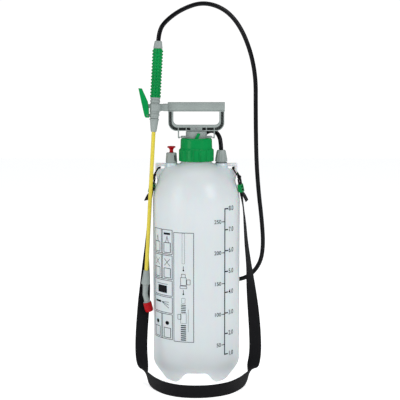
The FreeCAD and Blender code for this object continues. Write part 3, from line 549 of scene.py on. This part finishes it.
def number(text, x, z, size, align, bold):
    """A printed number, with its strokes widened by bold."""
    data = bpy.data.curves.new("number", "FONT")
    data.body = text
    data.size = size * MM
    data.align_x = align
    data.align_y = "CENTER"
    data.extrude = ink_thick / 2
    data.offset = bold * MM
    holder = bpy.data.objects.new("number", data)
    scene.collection.objects.link(holder)
    bpy.context.view_layer.update()
    mesh = bpy.data.meshes.new_from_object(holder.evaluated_get(bpy.context.evaluated_depsgraph_get()))
    bpy.data.objects.remove(holder)
    mesh.transform(Matrix.Translation((x * MM, 0, z * MM)) @ Matrix.Rotation(math.radians(90), 4, "X"))
    return mesh


def finish_print(name, bm, angle_deg):
    """Wrap a drawing round the tank and give it its ink."""
    wrap_on_tank(bm, angle_deg)
    mesh = mesh_from(bm, name, smooth=False)
    piece = add_object(name, mesh)
    piece.data.materials.append(finishes["ink"])
    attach(piece, "tank")
    return piece


# %% Litre scale
litre_rise = 42.4
first_litre = 61.5
scale_angle = 40.0
scale_bm = bmesh.new()
bar(scale_bm, 0, first_litre - 1.2, 0, first_litre + 7 * litre_rise + 1.2, width=2.4)
for litre in range(1, 9):
    level = first_litre + litre_rise * (litre - 1)
    bar(scale_bm, 0.4, level, 9.0, level, width=2.4)
    label = number("%d.0" % litre, 10.5, level, 13.0, "LEFT", 0.12)
    scale_bm.from_mesh(label)
    bpy.data.meshes.remove(label)
left_marks = ((50, 81.8), (100, 144.5), (150, 207.2), (200, 269.9), (250, 332.6))
for amount, level in left_marks:
    bar(scale_bm, -7.5, level, -0.4, level, width=1.5)
    label = number(str(amount), -9.0, level, 11.0, "RIGHT", 0.08)
    scale_bm.from_mesh(label)
    bpy.data.meshes.remove(label)
finish_print("litre_scale", scale_bm, scale_angle)
print("scale from", first_litre, "to", first_litre + 7 * litre_rise, "mm")

# %% Picture panels
panel_bm = bmesh.new()
cell_left = -23.0
cell_right = 23.0
rows = [316, 267, 264, 216, 213, 182, 179, 147, 144, 93]
for top, low in zip(rows[0::2], rows[1::2]):
    frame_box(panel_bm, cell_left, low, cell_right, top)
for top, low in (rows[0:2], rows[2:4], rows[8:10]):
    bar(panel_bm, -1.0, low, -1.0, top)
    bar(panel_bm, 1.5, low, 1.5, top)
for offset in (-12.0, 12.5):
    frame_box(panel_bm, offset - 7, 270, offset + 7, 290, width=1.1)
    bar(panel_bm, offset - 3, 290, offset, 303, width=0.8)
    bar(panel_bm, offset + 3, 290, offset, 303, width=0.8)
    frame_box(panel_bm, offset - 7, 219, offset + 7, 238, width=1.1)
    bar(panel_bm, offset - 6, 243, offset + 6, 257, width=0.8)
    bar(panel_bm, offset + 6, 243, offset - 6, 257, width=0.8)
    frame_box(panel_bm, offset - 7, 96, offset + 7, 116, width=1.1)
    disc(panel_bm, offset, 126, 4.0)
block(panel_bm, 5, 306, 19, 310)
block(panel_bm, -10, 187, 12, 202)
bar(panel_bm, -14, 205, 14, 205, width=0.8)
block(panel_bm, -18, 166, -2, 170)
for slant in (-6, 0, 6):
    bar(panel_bm, 0, 168, 16, 163 + slant, width=0.9)
bmesh.ops.scale(panel_bm, verts=panel_bm.verts, vec=(1.26, 1, 1))
finish_print("picture_steps", panel_bm, -51.4)

gun_bm = bmesh.new()
frame_box(gun_bm, -21, 91, 21, 312)
frame_box(gun_bm, -2.6, 250, 2.6, 311, width=0.4)
for arrow_low in (234, 186):
    bar(gun_bm, 0, arrow_low + 4, 0, arrow_low + 11, width=1.1)
    disc(gun_bm, 0, arrow_low + 2.5, 1.7)
frame_box(gun_bm, -4, 222, 4, 229, width=0.8)
frame_box(gun_bm, -6, 206, 6, 222, width=0.8)
frame_box(gun_bm, -7, 200, 7, 205, width=0.8)
frame_box(gun_bm, 7, 208, 14, 218, width=0.8)
frame_box(gun_bm, -3.5, 170, 3.5, 180, width=0.5)
for ring in range(5):
    block(gun_bm, -5, 151 + 3.6 * ring, 5, 152.6 + 3.6 * ring)
frame_box(gun_bm, -12, 137, -5, 147, width=0.8)
frame_box(gun_bm, -6, 129, 6, 149, width=0.5)
for ring in range(8):
    block(gun_bm, -5.5, 94 + 4.2 * ring, 5.5, 96.2 + 4.2 * ring)
bar(gun_bm, 10, 112, 10, 158, width=0.5)
finish_print("picture_gun", gun_bm, -16.8)
print("print made")

# %% [markdown]
# ## Softened mouldings
# The frame's hard pieces have perfect sharp edges, and no moulding has. Each is copied, its loose
# triangles are merged, and a small bevel rounds every edge, which is what catches the light.


# %% Soften the frame's pieces
def shade_channel(bm):
    """Paint shade into the handle's deep channel, open to the front: its floor and walls take a second, black
    finish as painted shade.
    """
    bmesh.ops.recalc_face_normals(bm, faces=bm.faces)
    # Painted shade: the channel's floor and the walls beside it take the black finish, standing in for the
    # groove's deep shadow.
    painted_shade_floors = [f for f in bm.faces if f.normal.y < -0.99 and 6 * MM < f.calc_center_median().y < 8.5 * MM]
    for face in painted_shade_floors:
        face.material_index = 1
        for edge in face.edges:
            for wall in edge.link_faces:
                if abs(wall.normal.y) < 0.1:
                    wall.material_index = 1


def softened(source, finish, bevel_mm):
    """A copy of a frame piece with its triangles merged and its edges rounded."""
    bm = bmesh.new()
    bm.from_mesh(frame["nodes"][source].data)
    bmesh.ops.remove_doubles(bm, verts=bm.verts, dist=0.000002)
    bmesh.ops.dissolve_limit(bm, angle_limit=math.radians(0.5), verts=bm.verts, edges=bm.edges)
    for face in bm.faces:
        face.material_index = 0
    # The handle's channel gets painted shade, a black finish on its floor and walls.
    if source == "pump_handle":
        shade_channel(bm)
    mesh = bpy.data.meshes.new(source + "_soft")
    bm.to_mesh(mesh)
    bm.free()
    for face in mesh.polygons:
        face.use_smooth = True
    piece = add_object(source + "_soft", mesh)
    mesh.materials.clear()
    mesh.materials.append(finishes[finish])
    # The second finish, black plastic, is painted shade for the handle's channel.
    if source == "pump_handle":
        mesh.materials.append(finishes["black_plastic"])
    bevel = piece.modifiers.new("edges", "BEVEL")
    bevel.width = bevel_mm * MM
    bevel.segments = 2
    bevel.limit_method = "ANGLE"
    bevel.angle_limit = math.radians(32)
    bevel.use_clamp_overlap = True
    bevel.harden_normals = False
    flat = piece.modifiers.new("normals", "WEIGHTED_NORMAL")
    flat.keep_sharp = True
    body = next(name for name, nodes in frame["record"]["behaviour"]["bodies"].items() if source in nodes)
    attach(piece, body)
    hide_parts(source)
    return piece


soft_list = {
    "collar_nut": 0.7, "lock_tab": 0.5, "pump_top_cover": 0.5, "pump_handle": 0.5, "lance_clip": 0.4,
    "relief_valve_body": 0.4, "relief_valve_cap": 0.4, "relief_knob": 0.5, "hose_nut": 0.4,
    "hose_ferrule": 0.4, "valve_body": 0.4, "trigger_lever": 0.5, "lance_nut": 0.4, "nozzle_elbow": 0.4,
    "nozzle_cap": 0.6, "strap_ring_left": 0.5, "strap_ring_right": 0.5, "strap_adjuster_left": 0.5,
    "strap_adjuster_right": 0.5,
}
slot_of = {row["node"]: row["material_slot"] for row in frame["record"]["subparts"]}
for source, bevel_mm in soft_list.items():
    softened(source, slot_of[source], bevel_mm)
print("softened", len(soft_list), "pieces")

# %% [markdown]
# ## Coil springs
# The two return springs are coils of wire. A round wire section is spun about the axis and pushed
# along it at every step, which draws the helix.

# %% Coil springs
coil_turns = 4
gun_foot = Vector((-84.9 * MM, -20.0 * MM, 536.0 * MM))
gun_turn = Matrix.Translation(gun_foot) @ Matrix.Rotation(math.radians(3.25), 4, "Y")


def coil_spring(name, source, mean_radius, wire_radius, length, placed):
    """A coil that starts at its moving end, at the placed frame's foot, and runs up to its seat."""
    bm = bmesh.new()
    upright = Matrix.Rotation(math.radians(90), 4, "X")
    first = Matrix.Translation((mean_radius * MM, 0, wire_radius * MM)) @ upright
    section = bmesh.ops.create_circle(bm, segments=10, radius=wire_radius * MM, matrix=first)["verts"]
    rim = list({edge for vertex in section for edge in vertex.link_edges})
    steps = 24 * coil_turns
    rise = (length - 2 * wire_radius) * MM / steps
    bmesh.ops.spin(bm, geom=section + rim, cent=(0, 0, 0), axis=(0, 0, 1), dvec=(0, 0, rise),
                   angle=math.tau * coil_turns, steps=steps)
    bmesh.ops.holes_fill(bm, edges=[edge for edge in bm.edges if edge.is_boundary])
    bmesh.ops.recalc_face_normals(bm, faces=bm.faces)
    bmesh.ops.transform(bm, matrix=placed, verts=bm.verts)
    spring = add_object(name, mesh_from(bm, name))
    spring.data.materials.append(finishes["steel"])
    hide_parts(source)
    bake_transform(spring)


relief_line = Matrix.Translation((-boss_x, 0, 450.8 * MM))
coil_spring("relief_coil", "relief_spring", 4.4, 0.6, 10.9, relief_line)
stem_foot = Matrix.Translation((-2.85 * MM, 0, 25 * MM))
stem_line = gun_turn @ stem_foot @ Matrix.Rotation(math.radians(90), 4, "Y")
coil_spring("valve_coil", "valve_spring", 2.2, 0.4, 8.1, stem_line)
print("springs", coil_turns, "turns each")

# %% [markdown]
# ## The grip
# The gun's grip is a soft sleeve with close ribs all round and grooves along it, so that it reads as
# rows of knobs. An outline with ribs is spun, and the rings of points under each groove are drawn in.

# %% Grip
grip_low = 43.0
grip_length = 98.0
grip_pitch = 6.4
grip_core = 9.2
grip_rib = 11.0
grip_bore = 6.0
grip_grooves = 12
groove_half = 0.13


def make_grip():
    """The sleeve round the gun's core tube, with its ribs and grooves."""
    outline = [(grip_bore, grip_low), (10.2, grip_low), (10.4, grip_low + 0.8)]
    for index in range(int(grip_length / grip_pitch)):
        z = grip_low + 1 + grip_pitch * index
        for radius, share in ((grip_rib - 0.35, 0.08), (grip_rib, 0.2), (grip_rib, 0.42),
                              (grip_rib - 0.35, 0.54), (grip_core, 0.64), (grip_core, 0.92)):
            outline.append((radius, z + share * grip_pitch))
    outline += [(grip_core, grip_low + grip_length - 0.4), (grip_bore, grip_low + grip_length),
                (grip_bore, grip_low)]
    bm = spin_outline(metres(outline), 72)
    for vertex in bm.verts:
        radius = math.hypot(vertex.co.x, vertex.co.y)
        if radius < (grip_core + 0.2) * MM:
            continue
        turn = math.atan2(vertex.co.y, vertex.co.x) / math.tau * grip_grooves
        if abs(turn - round(turn)) < groove_half:
            shrink = (grip_core + 0.1) * MM / radius
            vertex.co.x *= shrink
            vertex.co.y *= shrink
    bmesh.ops.transform(bm, matrix=gun_turn, verts=bm.verts)
    return mesh_from(bm, "grip_sleeve")


grip = add_object("grip_sleeve", make_grip())
grip.data.set_sharp_from_angle(angle=math.radians(50))
grip.data.materials.append(finishes["green_plastic"])
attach(grip, "plunger")
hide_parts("grip")
print("grip faces", len(grip.data.polygons))

# %% [markdown]
# ## The shoulder strap
# Webbing is a flat woven band, stiff across its width and soft along its length. It is made as a
# ribbon that is carried along a smooth line, with the width's direction turning slowly from place to
# place, and it carries its own UV map so that the weave follows the band.

# %% Strap finish
def webbing():
    """Woven nylon: two crossing waves, read along the band's own UV map."""
    material = bpy.data.materials.new("black_webbing")
    material.use_nodes = True
    tree = material.node_tree
    shader = tree.nodes["Principled BSDF"]
    shader.inputs["Roughness"].default_value = 0.8
    shader.inputs["Specular IOR Level"].default_value = 0.1
    shader.inputs["Sheen Weight"].default_value = 0.05
    shader.inputs["Sheen Roughness"].default_value = 0.5
    place = tree.nodes.new("ShaderNodeUVMap")
    place.uv_map = "web"
    rib = node(tree, "ShaderNodeTexWave", Scale=260.0, Distortion=0.4, Detail=1.0)
    rib.bands_direction = "Y"
    warp = node(tree, "ShaderNodeTexWave", Scale=330.0, Distortion=0.3, Detail=1.0)
    warp.bands_direction = "X"
    weave = tree.nodes.new("ShaderNodeMath")
    weave.operation = "MULTIPLY"
    ramp = tree.nodes.new("ShaderNodeValToRGB")
    ramp.color_ramp.elements[0].color = (0.004, 0.004, 0.005, 1)
    ramp.color_ramp.elements[1].color = (0.014, 0.014, 0.016, 1)
    bump = node(tree, "ShaderNodeBump", Strength=0.6, Distance=0.0003)
    tree.links.new(place.outputs["UV"], rib.inputs["Vector"])
    tree.links.new(place.outputs["UV"], warp.inputs["Vector"])
    tree.links.new(rib.outputs["Fac"], weave.inputs[0])
    tree.links.new(warp.outputs["Fac"], weave.inputs[1])
    tree.links.new(weave.outputs["Value"], ramp.inputs["Fac"])
    tree.links.new(ramp.outputs["Color"], shader.inputs["Base Color"])
    tree.links.new(weave.outputs["Value"], bump.inputs["Height"])
    tree.links.new(bump.outputs["Normal"], shader.inputs["Normal"])
    return material


finishes["black_webbing"] = webbing()

# %% Strap
strap_width = 25.0 * MM
strap_thick = 1.6 * MM
link_turn = math.radians(-12.0)
link_axis = 75.35
web_gap = 1.35
strap_rows = [
    (96.3, -2, 355, 0.08, 1, 0), (100.0, -2, 318, 0.2, 1, 0), (103, -4, 280, 0.3, 1, 0),
    (108.5, -8, 232, 0.45, 0.9, 0), (113, -14, 185, 0.75, 0.66, 0), (117.5, -20, 140, 0.92, 0.4, 0),
    (120.5, -26, 98, 0.96, 0.25, 0.05), (121, -33, 62, 0.95, 0.2, 0.2), (117, -42, 36, 0.8, 0.15, 0.55),
    (108, -58, 19, 0.4, 0.08, 0.9), (97, -84, 13.2, 0.06, 0, 1), (84, -114, 12.8, 0, 0.03, 1),
    (63, -143, 12.6, 0, 0.03, 1), (33, -162, 12.6, 0, 0, 1), (0, -168, 12.6, 0, 0, 1),
    (-33, -162, 12.6, 0, 0, 1), (-61, -142, 12.6, 0, 0.03, 1), (-81, -113, 12.8, 0, 0.03, 1),
    (-93, -84, 13.2, -0.06, 0, 1), (-103, -60, 19, -0.4, -0.08, 0.9), (-110, -45, 36, -0.8, -0.15, 0.55),
    (-113, -36, 62, -0.95, -0.2, 0.2), (-112.5, -28, 98, -0.96, -0.2, 0.05), (-110, -12, 140, -0.95, -0.2, 0),
    (-107, 3, 185, -0.8, -0.55, 0), (-105, 5, 232, -0.5, -0.85, 0), (-102.5, 4, 280, -0.2, -1, 0),
    (-99.5, 3.5, 318, -0.1, -1, 0), (-96.3, 3, 355, -0.1, -1, 0)]


def on_adjuster(side, offset, z):
    """A row inside an adjuster: away from its mid plane by the offset, and turned as it is."""
    share = (z - 386.0) / 15.6
    reach = side * (93.2 - 3.2 * share + offset - link_axis)
    return (side * link_axis + reach * math.cos(link_turn), reach * math.sin(link_turn), z,
            -side * math.sin(link_turn), side * math.cos(link_turn), 0)


strap_rows = [on_adjuster(1, -web_gap, 390.9), on_adjuster(1, -web_gap, 384.5)] + strap_rows
strap_rows += [on_adjuster(-1, -web_gap, 384.5), on_adjuster(-1, -web_gap, 390.9)]


def between(values, position):
    """A smooth curve through rows of numbers, read at a place between them."""
    index = min(int(position), len(values) - 2)
    t = position - index
    a, b, c, d = [Vector(values[max(0, min(len(values) - 1, index + k))]) for k in (-1, 0, 1, 2)]
    bend = (2 * a - 5 * b + 4 * c - d) * t * t
    twist = (3 * b - a - 3 * c + d) * t ** 3
    return 0.5 * ((2 * b) + (c - a) * t + bend + twist)


def make_ribbon(rows, width, thick, name):
    """A band along rows of a place and its width's direction; also returns its length."""
    per_row = 6
    across = 6
    places = [row[:3] for row in rows]
    widths = [row[3:] for row in rows]
    count = (len(rows) - 1) * per_row
    centres = [between(places, i / per_row) * MM for i in range(count + 1)]
    bm = bmesh.new()
    uv = bm.loops.layers.uv.new("web")
    lines = []
    run = 0.0
    runs = []
    for i, centre in enumerate(centres):
        tangent = (centres[min(i + 1, count)] - centres[max(i - 1, 0)]).normalized()
        side = between(widths, i / per_row)
        side = (side - tangent * side.dot(tangent)).normalized()
        out = tangent.cross(side)
        run += (centre - centres[i - 1]).length if i else 0.0
        runs.append(run)
        line = []
        for k in range(across + 1):
            share = k / across - 0.5
            cup = 0.5 * MM * (1 - 4 * share * share)
            line.append(bm.verts.new(centre + side * (share * width) + out * cup))
        lines.append(line)
    for i, (one, two) in enumerate(zip(lines, lines[1:])):
        for k in range(across):
            face = bm.faces.new((one[k], one[k + 1], two[k + 1], two[k]))
            corners = ((k, runs[i]), (k + 1, runs[i]), (k + 1, runs[i + 1]), (k, runs[i + 1]))
            for loop, (column, length) in zip(face.loops, corners):
                loop[uv].uv = (column / across * width, length)
    mesh = bpy.data.meshes.new(name)
    bm.to_mesh(mesh)
    bm.free()
    for face in mesh.polygons:
        face.use_smooth = True
    piece = add_object(name, mesh)
    solid = piece.modifiers.new("thickness", "SOLIDIFY")
    solid.thickness = thick
    solid.offset = 0.0
    edge = piece.modifiers.new("selvedge", "BEVEL")
    edge.width = 0.35 * MM
    edge.segments = 2
    piece.data.materials.append(finishes["black_webbing"])
    return piece, run


strap, strap_length = make_ribbon(strap_rows, strap_width, strap_thick, "strap_webbing")
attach(strap, "tank")
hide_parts("shoulder_strap")
print("strap length", round(strap_length, 3), "m")
for side, label in ((1, "right"), (-1, "left")):
    tail_rows = [on_adjuster(side, web_gap, 390.9), on_adjuster(side, web_gap, 384.5),
                 (side * 98.8, side * -4.2, 377.5, side * 0.25, side, 0),
                 (side * 104.0, side * -4.6, 367.0, side * 0.25, side, 0)]
    tail, tail_length = make_ribbon(tail_rows, strap_width, strap_thick, "strap_end_" + label)
    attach(tail, "tank")
    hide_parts("strap_end_" + label)
    print("strap end", label, round(tail_length, 3), "m")

# %% [markdown]
# ## Finishes on what is left of the frame
# Pieces that keep their frame shape take the finish of the slot that the record gives them.

# %% Finish the rest
for name, piece in frame["nodes"].items():
    piece.data.materials.clear()
    piece.data.materials.append(finishes[slot_of[name]])
print("finished", len(frame["nodes"]), "frame pieces")
